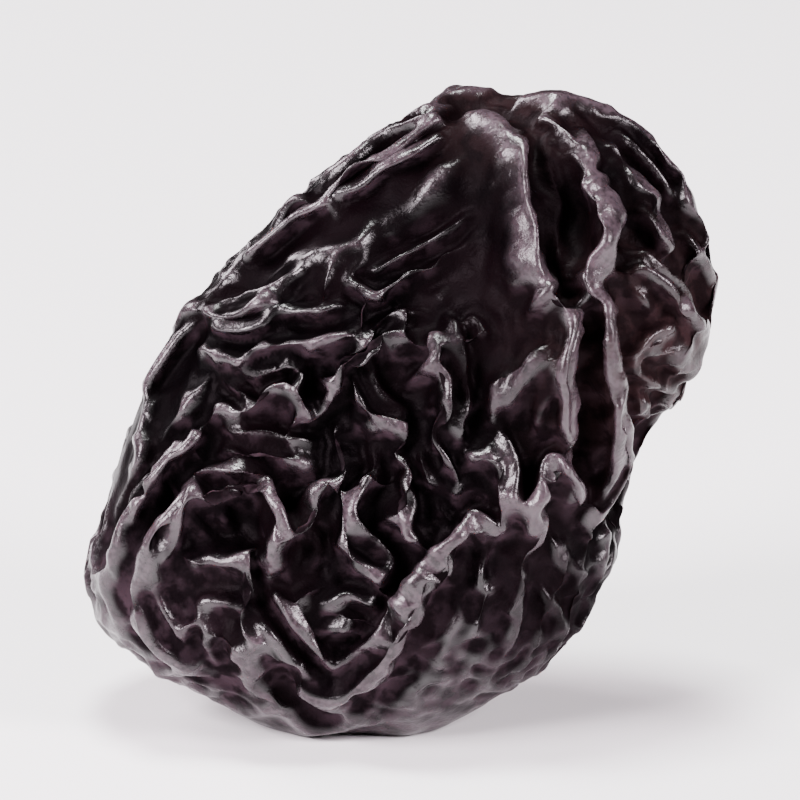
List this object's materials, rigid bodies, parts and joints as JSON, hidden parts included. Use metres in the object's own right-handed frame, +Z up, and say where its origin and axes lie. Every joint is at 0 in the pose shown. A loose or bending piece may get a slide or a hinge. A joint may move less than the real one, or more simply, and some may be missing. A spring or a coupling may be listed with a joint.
{
  "type": "prune",
  "caption": "Whole pitted prune: a dried plum, dark and deeply wrinkled, standing on a small flat spot of its belly.",
  "frame": {"origin": "under the middle of the fruit's bounding box, on the surface that it rests on", "axes": "+Z up, the stem end at the top; -Y towards the viewer, out of the wrinkled face; +X to the viewer's right"},
  "size_m": [0.036, 0.0254, 0.0365],
  "materials": {
    "skin": null
  },
  "bodies": {
    "root": {"prune": "skin"}
  },
  "joints": []
}
